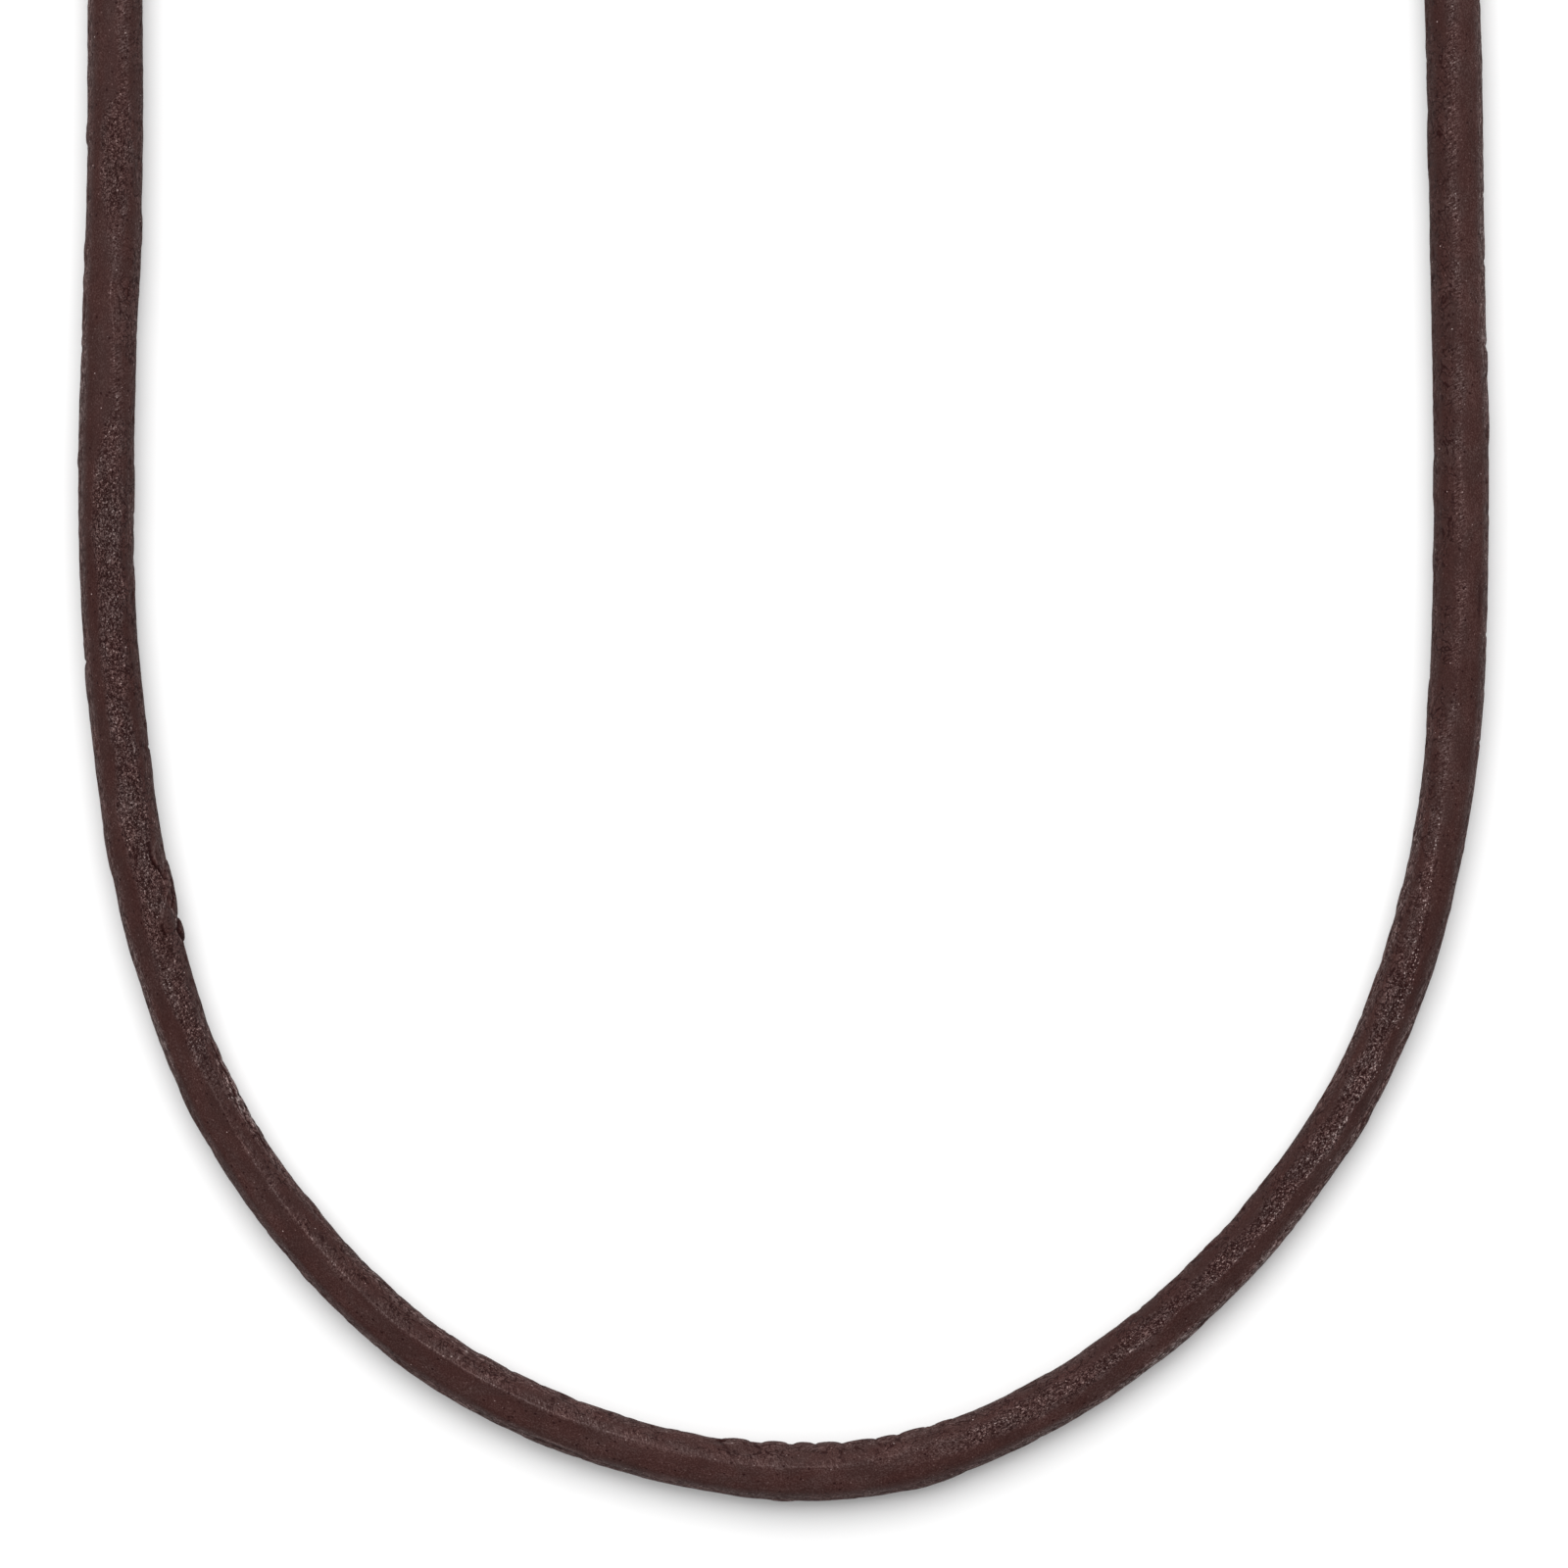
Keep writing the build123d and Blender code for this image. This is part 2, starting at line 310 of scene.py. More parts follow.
# The leather's textures: the kind, the cells that it is drawn in, in mm along, across and through the cord,
# their turn in degrees, and its own settings
TEXTURES = {
    # Slow waves of tone, and patches where the dye took redder or duller
    "waves": ("TexNoise", (3.2, 1.6, 1.6), 0, {"Detail": 3.0}),
    "patches": ("TexNoise", (2.4, 1.3, 1.3), 0, {}),
    # Pebbles of grain, 0.1 to 0.2 mm across, with narrow pits between them
    "pebbles": ("TexNoise", (0.17, 0.12, 0.12), 0, {"Roughness": 0.6, "Distortion": 1.0}),
    # Wider pits, 0.3 to 0.4 mm apart, where the grain of the hide opened
    "dents": ("TexNoise", (0.30, 0.25, 0.25), 0, {}),
    # Ripples 0.12 mm apart that slant across the cord
    "ripples": ("TexNoise", (0.36, 0.11, 0.5), 62, {"Distortion": 0.6}),
    # Fine ragged wrinkles, 0.1 to 0.2 mm apart, where rolling gathered the sides
    "wrinkles": ("TexNoise", (0.50, 0.10, 0.18), 0, {"Distortion": 1.0}),
    # Curled hair cracks, under 0.1 mm wide, where bending squeezed the inside of the loop
    "curls": ("TexNoise", (0.85, 0.60, 0.60), 0, {"Detail": 1.0, "Distortion": 0.9}),
    # Fine grain, 0.1 mm, all over
    "fines": ("TexNoise", (0.12, 0.10, 0.10), 0, {"Roughness": 0.6}),
    # Pores, 0.1 to 0.2 mm across
    "pores": ("TexVoronoi", (0.75, 0.62, 0.62), 0, {}),
    # Wax caught in the grain: a few bright specks under 0.1 mm across, and paler dots 0.4 mm apart
    "specks": ("TexVoronoi", (1.5, 1.2, 1.2), 0, {}),
    "waxes": ("TexVoronoi", (0.44, 0.40, 0.40), 0, {}),
    # Painted glints, 0.1 mm across, in a row of beads along the crest of the fold
    "glint_cells": ("TexVoronoi", (0.30, 0.17, 0.17), 0, {}),
}

# What the mesh keeps for the leather, one number at each vertex
KEPT = (
    "pebble_strength", "ripple_strength", "crest_highlight_strength", "wrinkled", "crease_shade_and_highlight", "flap", "dye_and_side_shade",
    "from_fold_deg", "in_band_deg", "bead_zone_deg",
)

# The edges of the grainy band wander by this many degrees, and the crest lies this many from the fold,
# towards the inside of the loop.
RAGGED_DEG = 40.0
CREST_DEG = 1.5
# Strong wrinkles reach this many mm further up the sides, and a flap hides this share of the grain.
WRINKLE_REACH = 0.4
FLAP_HIDES = 0.75

# Marks in the leather and places on it: what each is read from, and the values where it starts and is full
STEPS = {
    "pebble": ("pebbles", 0.34, 0.58),
    "pebble_glint": ("pebbles", 0.58, 0.70),
    "dent": ("dents", 0.42, 0.34),
    "ripple": ("ripples", 0.34, 0.66),
    "wrinkle": ("wrinkles", 0.40, 0.60),
    "curl": ("off_curl", 0.036, 0.014),
    "fine": ("fines", 0.3, 0.7),
    "pore": ("pores", 0.16, 0.08),
    "speck": ("specks", 0.042, 0.022),
    "wax": ("waxes", 0.17, 0.08),
    "painted_glint": ("glint_cells", 0.30, 0.12),
    "redder": ("patches", 0.36, 0.64),
    "band": ("in_ragged_band", -9.0, 9.0),
    "low_side": ("up_the_side", 1.25, 0.75),
    "crest": ("off_crest", 3.2, 0.6),
    "bead_zone": ("in_bead_zone", 0.0, 1.5),
    "bead_patch": ("waves", 0.40, 0.58),
    "inner_side": ("from_fold_deg", -6.0, -24.0),
    "curl_patch": ("waves", 0.42, 0.52),
}

# Where marks show: only where all of these do
PLACES = {
    "pebbled": ("pebble_strength", "band", "off_flap"),
    "rippled": ("ripple_strength", "band", "off_flap"),
    "gathered": ("low_side", "wrinkled"),
    "crest_highlighted": ("crest", "crest_highlight_strength"),
    "glinting": ("bead_zone", "bead_patch"),
    "squeezed": ("inner_side", "curl_patch"),
}

# How each mark shows: its place, how much paler it is, how much paler its whole place is, and its height
# in mm. Negative numbers are darker or sunk. Paler pebbles, ripples and wrinkles are partly the grain's own
# tone and partly painted highlight and sheen, and the pebble tips, the crest and the beads are painted
# glints and highlight. The dark pebble pits, dents, pores and cracks are partly dye caught in them and partly
# painted shade, the creases and nicks carry painted shade, and edges that stand up a painted highlight.
MARKS = (
    ("pebble", "pebbled", 1.05, -0.62, 0.050),
    ("ripple", "rippled", 0.72, -0.25, 0.024),
    # Painted glints on the pebbles' tips
    ("pebble_glint", "pebbled", 0.25, 0, 0),
    ("wrinkle", "gathered", 0.78, -0.13, 0.050),
    ("dent", "pebbled", -0.40, 0, -0.030),
    ("fine", "everywhere", 0.38, -0.19, 0.008),
    # A painted highlight along the crest of the fold
    ("pebble", "crest_highlighted", 0.35, 0, 0),
    ("pore", "everywhere", -1.0, 0, -0.020),
    ("curl", "squeezed", -0.52, 0, -0.040),
    ("crease_shade_and_highlight", "everywhere", -0.8, 0, 0),
    ("speck", "everywhere", 2.0, 0, 0),
    ("wax", "everywhere", 0.4, 0, 0),
    # Painted glints in beads along the crest of the fold
    ("painted_glint", "glinting", 1.3, 0, 0),
)

# The leather's colours from its darkest tone, for pits and creases and partly painted shade, to its palest,
# for painted glints. The waves add this much to the tone, over this base, and the whole is scaled before the
# shift of tone and painted shade for each side of the fold is added.
DYE_SHADE_AND_GLINT_COLOURS = ((0.0, "#1f0504"), (0.36, "#331e1b"), (0.72, "#55423f"), (1.0, "#9b8b87"))
WAVE_TONE = 0.4
BASE_TONE = 0.305
TONE_SCALE = 0.72
# What the duller and the redder patches leave of the dye's red, green and blue
DULLER_SHARES = (0.97, 1.00, 1.03, 1.0)
REDDER_SHARES = (1.04, 0.94, 0.95, 1.0)

# The clasp's brushed rings: how many to a mm along its axis, and how many patches to a mm round it
RINGS_PER_MM = 9
PATCHES_PER_MM = 0.15


def linear(hex_colour):
    """An sRGB hex colour as linear red, green, blue and alpha."""
    parts = [int(hex_colour[i : i + 2], 16) / 255 for i in (1, 3, 5)]
    return (*[p / 12.92 if p <= 0.04045 else ((p + 0.055) / 1.055) ** 2.4 for p in parts], 1.0)


def add(tree, kind, inputs=(), **settings):
    """A node with its settings. inputs gives what feeds or fills its inputs, in order or by name."""
    node = tree.nodes.new("ShaderNode" + kind)
    for name, value in settings.items():
        setattr(node, name, value)
    entries = inputs.items() if isinstance(inputs, dict) else enumerate(inputs)
    for entry, source in entries:
        if isinstance(source, bpy.types.Node):
            source = source.outputs[0]
        if isinstance(source, bpy.types.NodeSocket):
            tree.links.new(source, node.inputs[entry])
        else:
            node.inputs[entry].default_value = source
    return node


def new_material(name):
    """A material and its empty node tree."""
    material = bpy.data.materials.new(name)
    material.use_nodes = True
    material.node_tree.nodes.clear()
    return material, material.node_tree


def set_camera():
    """A camera straight above the front of the loop."""
    data = bpy.data.cameras.new("camera")
    camera = bpy.data.objects.new("camera", data)
    scene.collection.objects.link(camera)
    data.sensor_width = SENSOR_WIDTH
    data.lens = SENSOR_WIDTH * (CAMERA_HEIGHT - CORD_RADIUS) / VIEW_WIDTH
    camera.location = (*VIEW_MIDDLE, CAMERA_HEIGHT)
    scene.camera = camera


def read_route():
    """Points close together along the route's smooth line."""
    curve = bpy.data.curves.new("route", "CURVE")
    curve.dimensions = "3D"
    curve.resolution_u = LINE_STEPS
    spline = curve.splines.new("NURBS")
    spline.points.add(len(ROUTE) - 1)
    for point, place in zip(spline.points, ROUTE):
        point.co = (*place, 1)
    spline.order_u = 3
    spline.use_endpoint_u = True
    holder = bpy.data.objects.new("route", curve)
    mesh = bpy.data.meshes.new_from_object(holder)
    line = np.array([v.co for v in mesh.vertices])
    bpy.data.objects.remove(holder)
    bpy.data.meshes.remove(mesh)
    bpy.data.curves.remove(curve)
    return line


def ring_distances(length):
    """How far along the cord each ring stands, in mm."""
    ends = [start for start, _ in RING_SPACING[1:]] + [length]
    runs = []
    for (start, gap), end in zip(RING_SPACING, ends):
        runs.append(np.linspace(start, end, round((end - start) / gap), endpoint=False))
    return np.concatenate([*runs, [length]])


def ring_angles():
    """The angles of each ring's points, once round, in degrees from the cord's top."""
    upper = np.linspace(-UPPER_ARC, UPPER_ARC, UPPER_SEGMENTS + 1)
    lower = np.linspace(UPPER_ARC, 360 - UPPER_ARC, LOWER_SEGMENTS + 1)
    return np.concatenate([upper, lower[1:]])


def straight_tube(distances, angles):
    """The cord as a straight tube of 1 mm radius in mm, rolled up from a flat grid and welded at its seam."""
    bm = bmesh.new()
    bm.loops.layers.uv.new("OFBake")
    rings, segments = len(distances) - 1, len(angles) - 1
    half = 0.5
    bmesh.ops.create_grid(bm, x_segments=rings, y_segments=segments, size=half, calc_uvs=True)
    sines, cosines = np.sin(np.radians(angles)), np.cos(np.radians(angles))
    for v in bm.verts:
        i = round((v.co.x + half) * rings)
        j = round((v.co.y + half) * segments)
        v.co = distances[i], sines[j], cosines[j]
    bmesh.ops.remove_doubles(bm, verts=bm.verts[:], dist=WELD_DISTANCE)
    for start, end, low, high, cuts in FINER_PARTS:
        inside = set()
        for v in bm.verts:
            angle = degrees(atan2(v.co.y, v.co.z))
            if start < v.co.x < end and low < angle < high:
                inside.add(v)
        edges = [e for e in bm.edges if inside.issuperset(e.verts)]
        bmesh.ops.subdivide_edges(bm, edges=edges, cuts=cuts, use_grid_fill=True)
    open_edges = [e for e in bm.edges if e.is_boundary]
    bmesh.ops.holes_fill(bm, edges=open_edges, sides=0)
    bmesh.ops.recalc_face_normals(bm, faces=bm.faces[:])
    mesh = bpy.data.meshes.new("leather_cord_dressed")
    bm.to_mesh(mesh)
    bm.free()
    return mesh


def smooth_table(table, along):
    """Each column of a table at the distances along the cord, with smooth turns between its rows."""
    rows = np.array(table, float)
    where = np.clip(np.searchsorted(rows[:, 0], along) - 1, 0, len(rows) - 2)
    start, end = rows[where], rows[where + 1]
    share = np.clip((along - start[:, 0]) / (end[:, 0] - start[:, 0]), 0, 1)
    share = share * share * (3 - 2 * share)
    return (start + (end - start) * share[:, None]).T[1:]


def lumps(along, around, height, length, count, seed):
    """Smooth random lumps up to a height, length mm apart along the cord and count of them round it."""
    rows = int(LUMPY_LENGTH / length) + SPARE_ROWS
    heights = np.random.default_rng(seed).uniform(-1, 1, (rows, count))
    x, y = along / length + 1, (around / 360 % 1) * count
    i, j = np.floor(x).astype(int), np.floor(y).astype(int)
    fx, fy = x - i, y - j
    fx, fy = fx * fx * (3 - 2 * fx), fy * fy * (3 - 2 * fy)
    near = heights[i, j % count] * (1 - fy) + heights[i, (j + 1) % count] * fy
    far = heights[i + 1, j % count] * (1 - fy) + heights[i + 1, (j + 1) % count] * fy
    return height * (near * (1 - fx) + far * fx)


def swelling(x, y):
    """A bulge's shape, 1 at its middle, with clear ends along the cord. It fades out round the cord."""
    y = y / BULGE_SPREAD
    return np.sqrt(np.clip(1 - x * x, 0, 1)) * np.clip(1 - y * y, 0, 1) ** 2


def dome(x, y):
    """A flap's shape, 1 at its middle, with a clear edge all round."""
    return np.sqrt(np.clip(1 - x * x - y * y, 0, 1))


def raised_parts(parts, shape, along, around):
    """How high bulges or flaps stand, in mm."""
    total = np.zeros(len(along))
    for middle, angle, half_length, half_width, height in parts:
        rise = shape((along - middle) / half_length, (around - angle) / half_width)
        total = np.maximum(total, height * rise)
    return total


def distance_to_line(at, spots):
    """How far each place is from the straight runs between some spots."""
    nearest = np.full(len(at), np.inf)
    for start, end in zip(spots, spots[1:]):
        run = end - start
        share = np.clip((at - start) @ run / (run @ run), 0, 1)
        nearest = np.minimum(nearest, np.linalg.norm(at - start - share[:, None] * run, axis=1))
    return nearest


def crease_depths(along, around):
    """How deep the creases are, in mm, and their painted shade at each place, from -1 for a painted highlight
    on an edge that stands up to 1 for the darkest painted shade.
    """
    depths, shades = np.zeros(len(along)), np.zeros(len(along))
    across = np.radians(around) * CORD_RADIUS / MM
    for depth, half_width, places in CREASES:
        spots = np.array(places, float)
        spots[:, 1] = np.radians(spots[:, 1]) * CORD_RADIUS / MM
        middle, half_length = spots[:, 0].mean(), np.ptp(spots[:, 0]) / 2
        near = np.abs(along - middle) < half_length + CREASE_MARGIN
        at = np.stack([along[near], across[near]], axis=1)
        off_middle = np.abs(at[:, 0] - middle) / (half_length + CREASE_FADE)
        fade = np.clip(CREASE_FADE_SLOPE * (1 - off_middle), 0, 1) ** 0.5
        strength = np.exp(-((distance_to_line(at, spots) / half_width) ** 2)) * fade
        depths[near] += depth * strength
        shades[near] += np.sign(depth) * min(1, abs(depth) / DARKEST_CREASE) * strength
    return depths, np.clip(shades, -1, 1)


def at_sides(around):
    """1 at the cord's sides, and 0 on its top and underside."""
    angle = np.abs(around)
    return np.clip((angle - SIDE_START) / SIDE_FADE, 0, 1) * np.clip((SIDE_END - angle) / SIDE_FADE, 0, 1)


def nicks(along, around):
    """Small nicks in the cord's sides, where rolling rubbed bits of grain off, from 0 to 1."""
    past_start = np.clip(lumps(along, around, *NICK_LUMPS) - NICK_START, 0, 1)
    return at_sides(around) * past_start / (1 - NICK_START)


def flat_beside_fold(turn, width):
    """How far below a round of radius 1 a flat lies that starts at the fold and is width degrees wide."""
    inside = (turn > 0) & (turn < width)
    flat = np.cos(np.radians(width / 2)) / np.cos(np.radians(np.clip(turn, 0, width) - width / 2))
    return np.where(inside, 1 - flat, 0)


def leather_section(along, around):
    """The leather's shape round the cord, as a share of its half width."""
    fold, inner_flat, outer_flat = smooth_table(TOP_FOLD, along)
    inside = inner_flat * flat_beside_fold(fold - around, INNER_FLAT)
    outside = outer_flat * flat_beside_fold(around - fold, OUTER_FLAT)
    return 1 - inside - outside


def leather_relief(along, around):
    """The relief on that shape, in mm."""
    relief = lumps(along, around, *BROAD_LUMPS) + lumps(along, around, *SMALL_LUMPS)
    relief += at_sides(around) * lumps(along, around, *SIDE_LUMPS)
    relief += raised_parts(BULGES, swelling, along, around) + raised_parts(FLAPS, dome, along, around)
    relief -= crease_depths(along, around)[0] + NICK_DEPTH * nicks(along, around)
    middle = CORD_LENGTH / MM / 2
    from_end = middle - np.abs(along - middle)
    return relief * np.clip((from_end - PLAIN_END) / PLAIN_FADE, 0, 1)


def bend_to_route(line, along, sideways, height):
    """Places on the cord in the scene, from mm along its middle line, out from it and above it."""
    steps = np.diff(line, axis=0)
    lengths = np.linalg.norm(steps, axis=1)
    at = np.concatenate([[0], np.cumsum(lengths)]) / MM
    middle = np.stack([np.interp(along, at, line[:, k]) for k in range(3)], axis=1)
    headings = steps / lengths[:, None]
    halfway = (at[:-1] + at[1:]) / 2
    heading = np.stack([np.interp(along, halfway, headings[:, k]) for k in range(3)], axis=1)
    heading /= np.linalg.norm(heading, axis=1)[:, None]
    outward = np.stack([heading[:, 1], -heading[:, 0], np.zeros(len(along))], axis=1)
    outward /= np.linalg.norm(outward, axis=1)[:, None]
    upward = np.cross(outward, heading)
    return middle + (outward * sideways[:, None] + upward * height[:, None]) * MM


def lay_out_bake_map(mesh):
    """Folds the cord's long map into rows that fill the square."""
    layer = mesh.uv_layers["OFBake"]
    uv = np.empty(len(mesh.loops) * 2, np.float32)
    layer.uv.foreach_get("vector", uv)
    uv = uv.reshape(-1, 2)
    sides = np.empty(len(mesh.polygons), np.int32)
    mesh.polygons.foreach_get("loop_total", sides)
    face = np.repeat(np.arange(len(sides)), sides)
    middle_u = (np.bincount(face, uv[:, 0]) / sides)[face]
    row = np.clip((middle_u * BAKE_ROWS).astype(int), 0, BAKE_ROWS - 1)
    end_margin, side_margin = BAKE_MARGINS
    uv[:, 0] = (uv[:, 0] * BAKE_ROWS - row) * (1 - 2 * end_margin) + end_margin
    uv[:, 1] = (row + side_margin + uv[:, 1] * (1 - 2 * side_margin)) / BAKE_ROWS
    uv[sides[face] > END_FACE_SIDES] = BAKE_END_SPOT
    layer.uv.foreach_set("vector", uv.ravel())


def keep(mesh, name, values):
    """Keeps a number or a vector for each vertex, for the leather's nodes to read."""
    kind, field = ("FLOAT_VECTOR", "vector") if values.ndim == 2 else ("FLOAT", "value")
    attribute = mesh.attributes.new(name, kind, "POINT")
    attribute.data.foreach_set(field, values.astype(np.float32).ravel())


def keep_finish(mesh, along, around):
    """Keeps what the leather looks like at each vertex."""
    from_fold = around - smooth_table(TOP_FOLD, along)[0]
    finish = dict(zip(FINISH_COLUMNS, smooth_table(FINISH, along)))
    for name in ("pebble_strength", "ripple_strength", "crest_highlight_strength", "bead_zone_deg"):
        keep(mesh, name, finish[name])
    keep(mesh, "wrinkled", np.where(around < 0, finish["inner_wrinkles"], finish["outer_wrinkles"]))
    # Painted shade in creases and nicks, and a painted highlight on edges that stand up
    keep(mesh, "crease_shade_and_highlight", crease_depths(along, around)[1] + NICK_SHADE * nicks(along, around))
    keep(mesh, "flap", np.clip(raised_parts(FLAPS, dome, along, around) / FLAP_EDGE, 0, 1))
    # The tone of each side of the fold, partly painted light and shade
    inner_tone_and_shade, outer_tone_and_shade = smooth_table(SIDE_TONE_AND_SHADE, along)
    outer_share = np.clip(from_fold / SIDE_SHADE_BLEND + 0.5, 0, 1)
    keep(mesh, "dye_and_side_shade", inner_tone_and_shade + (outer_tone_and_shade - inner_tone_and_shade) * outer_share)
    keep(mesh, "from_fold_deg", from_fold)
    keep(mesh, "in_band_deg", np.minimum(from_fold - finish["band_start"], finish["band_end"] - from_fold))


def make_cord(line):
    """The leather cord: a tube with the uneven width, pressed top and lumps of hand-rolled leather."""
    length = np.linalg.norm(np.diff(line, axis=0), axis=1).sum() / MM
    mesh = straight_tube(ring_distances(length), ring_angles())
    straight = np.empty(len(mesh.vertices) * 3, np.float32)
    mesh.vertices.foreach_get("co", straight)
    straight = straight.reshape(-1, 3)
    along = straight[:, 0].astype(float)
    around = np.degrees(np.arctan2(straight[:, 1], straight[:, 2]))
    keep(mesh, "straight_mm", straight * np.array([1, CORD_RADIUS / MM, CORD_RADIUS / MM], np.float32))
    keep_finish(mesh, along, around)

    inner, outer = smooth_table(HALF_WIDTHS, along)
    half_width = (inner + outer) / 2
    reach = leather_section(along, around) * half_width + leather_relief(along, around)
    sideways = np.sin(np.radians(around)) * reach + (outer - inner) / 2
    height = np.cos(np.radians(around)) * reach + half_width - CORD_RADIUS / MM
    places = bend_to_route(line, along, sideways, height)
    places[:, 2] = np.maximum(places[:, 2], 0)
    mesh.vertices.foreach_set("co", places.astype(np.float32).ravel())

    lay_out_bake_map(mesh)
    mesh.shade_smooth()
    mesh.update()
    cord = bpy.data.objects.new("leather_cord_dressed", mesh)
    scene.collection.objects.link(cord)
    return cord


def read_leather(tree):
    """The leather's textures, what its mesh keeps, and what follows from them, by name."""
    place = add(tree, "Attribute", attribute_name="straight_mm").outputs["Vector"]
    values = {"everywhere": 1.0, "height_mm": add(tree, "SeparateXYZ", (place,)).outputs["Z"]}
    for name in KEPT:
        values[name] = add(tree, "Attribute", attribute_name=name).outputs["Fac"]
    for name, (kind, cell, turn, settings) in TEXTURES.items():
        mapping = {"Vector": place, "Rotation": (0, 0, radians(turn)), "Scale": cell}
        cells = add(tree, "Mapping", mapping, vector_type="TEXTURE")
        values[name] = add(tree, kind, {"Vector": cells, "Scale": 1.0, **settings})

    ragged = add(tree, "Math", (values["waves"], RAGGED_DEG, -RAGGED_DEG / 2), operation="MULTIPLY_ADD")
    values["in_ragged_band"] = add(tree, "Math", (values["in_band_deg"], ragged), operation="ADD")
    wrinkle_reach = (values["wrinkled"], -WRINKLE_REACH, values["height_mm"])
    values["up_the_side"] = add(tree, "Math", wrinkle_reach, operation="MULTIPLY_ADD")
    from_crest = add(tree, "Math", (values["from_fold_deg"], CREST_DEG), operation="ADD")
    off_crest = add(tree, "Math", (from_crest,), operation="ABSOLUTE")
    values["off_crest"] = off_crest
    values["in_bead_zone"] = add(tree, "Math", (values["bead_zone_deg"], off_crest), operation="SUBTRACT")
    from_curl = add(tree, "Math", (values["curls"], 0.5), operation="SUBTRACT")
    values["off_curl"] = add(tree, "Math", (from_curl,), operation="ABSOLUTE")
    values["off_flap"] = add(tree, "Math", (values["flap"], -FLAP_HIDES, 1.0), operation="MULTIPLY_ADD")
    return values


def find_marks(tree, values):
    """Adds each mark and each place where marks show to the leather's values, from 0 to 1."""
    for name, (source, start, full) in STEPS.items():
        between = (values[source], start, full)
        values[name] = add(tree, "MapRange", between, interpolation_type="SMOOTHSTEP")
    for name, (first, *others) in PLACES.items():
        values[name] = values[first]
        for other in others:
            values[name] = add(tree, "Math", (values[name], values[other]), operation="MULTIPLY")


def dye_leather(tree, values, marks_and_painted_light):
    """The leather's colour, from its waves, its tone and painted shade for each side of the fold, and its
    marks with their painted light and shade.
    """
    base = add(tree, "Math", (values["waves"], WAVE_TONE, BASE_TONE), operation="MULTIPLY_ADD")
    tone = add(tree, "Math", (marks_and_painted_light, base), operation="ADD")
    tone = add(tree, "Math", (tone, TONE_SCALE, values["dye_and_side_shade"]), operation="MULTIPLY_ADD")
    dye_and_side_shade = add(tree, "ValToRGB", (tone,))
    stops = dye_and_side_shade.color_ramp.elements
    for position, _ in DYE_SHADE_AND_GLINT_COLOURS[1:-1]:
        stops.new(position)
    for stop, (_, colour) in zip(stops, DYE_SHADE_AND_GLINT_COLOURS):
        stop.color = linear(colour)
    patches = {"Factor": values["redder"], "A": DULLER_SHARES, "B": REDDER_SHARES}
    tint = add(tree, "Mix", patches, data_type="RGBA").outputs["Result"]
    tinted = add(tree, "Mix", {"Factor": 1.0, "A": dye_and_side_shade, "B": tint}, data_type="RGBA", blend_type="MULTIPLY")
    return tinted.outputs["Result"]


def make_leather():
    """Drum-dyed cowhide, rolled into a cord and waxed. Dark reddish brown with a low soft sheen. Its pebbled
    and rippled grain has small glints painted into its colour, and its pores and pits are darker dots, partly
    painted shade."""
    material, tree = new_material("drum_dyed_rolled_cowhide")
    values = read_leather(tree)
    find_marks(tree, values)
    marks_and_painted_light, relief = 0.0, 0.0
    for mark, place, paler, place_paler, height in MARKS:
        shown = add(tree, "Math", (values[mark], values[place]), operation="MULTIPLY")
        marks_and_painted_light = add(tree, "Math", (shown, paler, marks_and_painted_light), operation="MULTIPLY_ADD")
        if place_paler:
            marks_and_painted_light = add(tree, "Math", (values[place], place_paler, marks_and_painted_light), operation="MULTIPLY_ADD")
        if height:
            relief = add(tree, "Math", (shown, height, relief), operation="MULTIPLY_ADD")
    # Where the marks and their painted light make the leather paler it is smoother, and low on the sides and
    # below the leather is duller.
    smoother = {"Value": marks_and_painted_light, "From Min": 0.0, "From Max": 0.5, "To Min": 0.44, "To Max": 0.30}
    duller = {"Value": values["height_mm"], "From Min": 1.5, "From Max": 0.8, "To Min": 0.0, "To Max": 0.24}
    smoother = add(tree, "MapRange", smoother, interpolation_type="SMOOTHSTEP")
    duller = add(tree, "MapRange", duller, interpolation_type="SMOOTHSTEP")
    finish = {
        "Base Color": dye_leather(tree, values, marks_and_painted_light),
        "Roughness": add(tree, "Math", (smoother, duller), operation="ADD"),
        "Specular IOR Level": 0.09,
        "Normal": add(tree, "Bump", {"Height": relief, "Strength": 1.0, "Distance": MM}),
    }
    add(tree, "OutputMaterial", {"Surface": add(tree, "BsdfPrincipled", finish)})
    return material


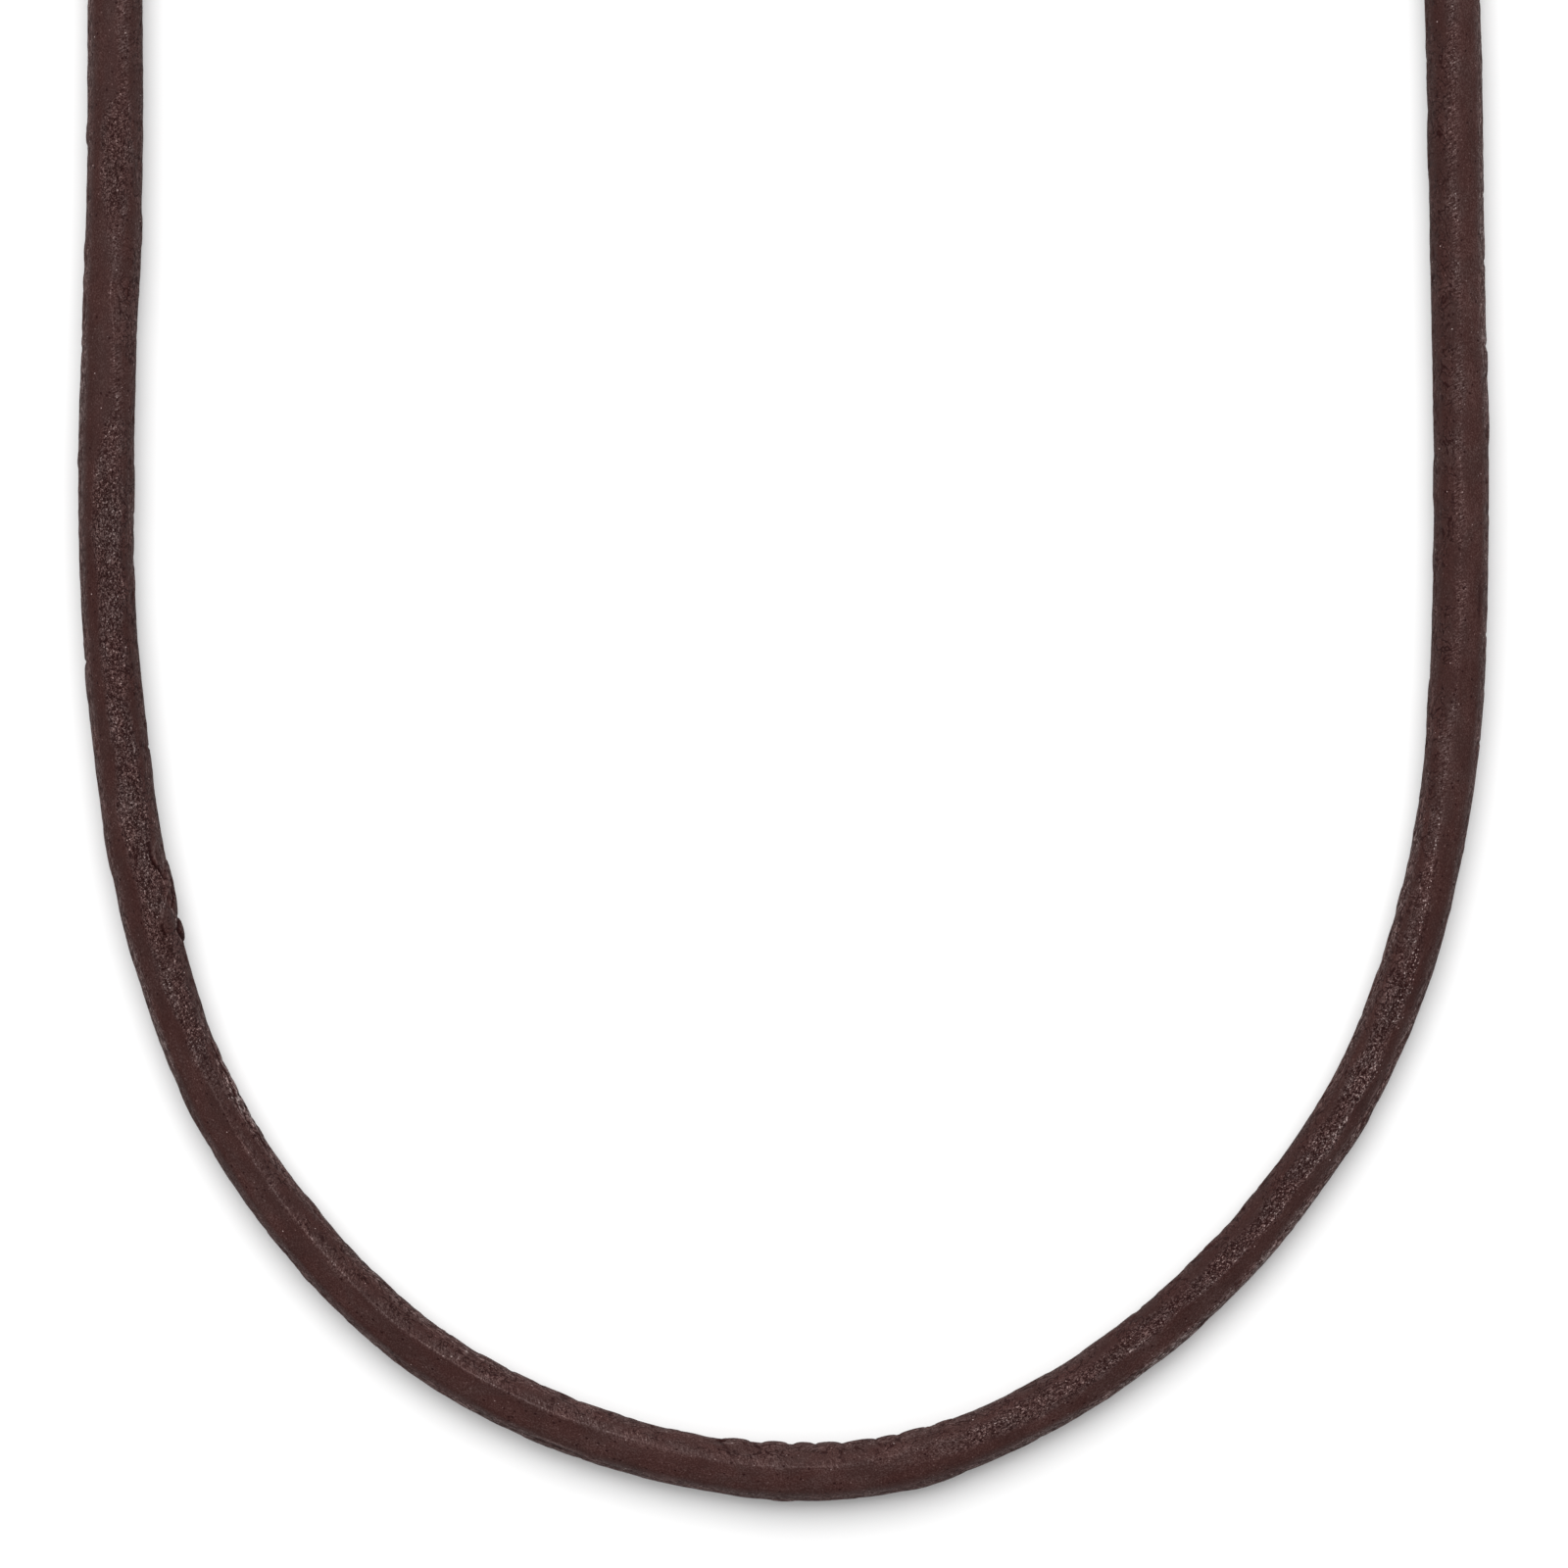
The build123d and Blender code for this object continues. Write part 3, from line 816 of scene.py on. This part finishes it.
def make_steel():
    """Stainless steel, turned and then brushed round its axis. Pale grey with fine bright and dark rings."""
    material, tree = new_material("turned_stainless_steel")
    place = add(tree, "TexCoord").outputs["Object"]
    scale = (RINGS_PER_MM / MM, PATCHES_PER_MM / MM, PATCHES_PER_MM / MM)
    stretched = add(tree, "Mapping", {"Vector": place, "Scale": scale})
    rings = add(tree, "TexNoise", {"Vector": stretched, "Scale": 1.0})
    finish = {
        "Base Color": linear("#b9b9b7"),
        "Metallic": 1.0,
        "Roughness": add(tree, "MapRange", {"Value": rings, "To Min": 0.2, "To Max": 0.38}),
        "Normal": add(tree, "Bump", {"Height": rings, "Strength": 0.3, "Distance": 0.01 * MM}),
    }
    add(tree, "OutputMaterial", {"Surface": add(tree, "BsdfPrincipled", finish)})
    return material


def make_floor():
    """A large sheet of matt white card, which takes the soft shadow and has no gloss."""
    material, tree = new_material("matt_white_card")
    finish = {"Base Color": linear("#e6e6e6"), "Roughness": 0.9, "Specular IOR Level": 0.0}
    add(tree, "OutputMaterial", {"Surface": add(tree, "BsdfPrincipled", finish)})
    bm = bmesh.new()
    bmesh.ops.create_grid(bm, x_segments=1, y_segments=1, size=FLOOR_REACH)
    mesh = bpy.data.meshes.new("floor")
    bm.to_mesh(mesh)
    bm.free()
    mesh.materials.append(material)
    floor = bpy.data.objects.new("floor", mesh)
    scene.collection.objects.link(floor)


def set_lights():
    """The white tent and the soft box."""
    world = bpy.data.worlds.new("white_tent")
    scene.world = world
    world.use_nodes = True
    tent = world.node_tree.nodes["Background"].inputs
    tent["Color"].default_value = linear("#ffffff")
    tent["Strength"].default_value = TENT_STRENGTH
    data = bpy.data.lights.new("soft_box", "AREA")
    data.shape = "RECTANGLE"
    data.size, data.size_y = SOFT_BOX_SIZE
    data.energy = SOFT_BOX_WATTS
    lamp = bpy.data.objects.new("soft_box", data)
    scene.collection.objects.link(lamp)
    lamp.location = Vector(SOFT_BOX_AIM) + Vector(SOFT_BOX_FROM_AIM)
    lamp.rotation_euler = Vector(SOFT_BOX_FROM_AIM).to_track_quat("Z", "Y").to_euler()
    scene.view_settings.view_transform = "Standard"


set_camera()
line = read_route()
cord = make_cord(line)
cord.data.materials.append(make_leather())
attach(cord, "root")
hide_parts("leather_cord")
steel = make_steel()
clasp = bpy.data.objects["clasp"]
for slot in clasp.material_slots:
    slot.material = steel
make_floor()
set_lights()
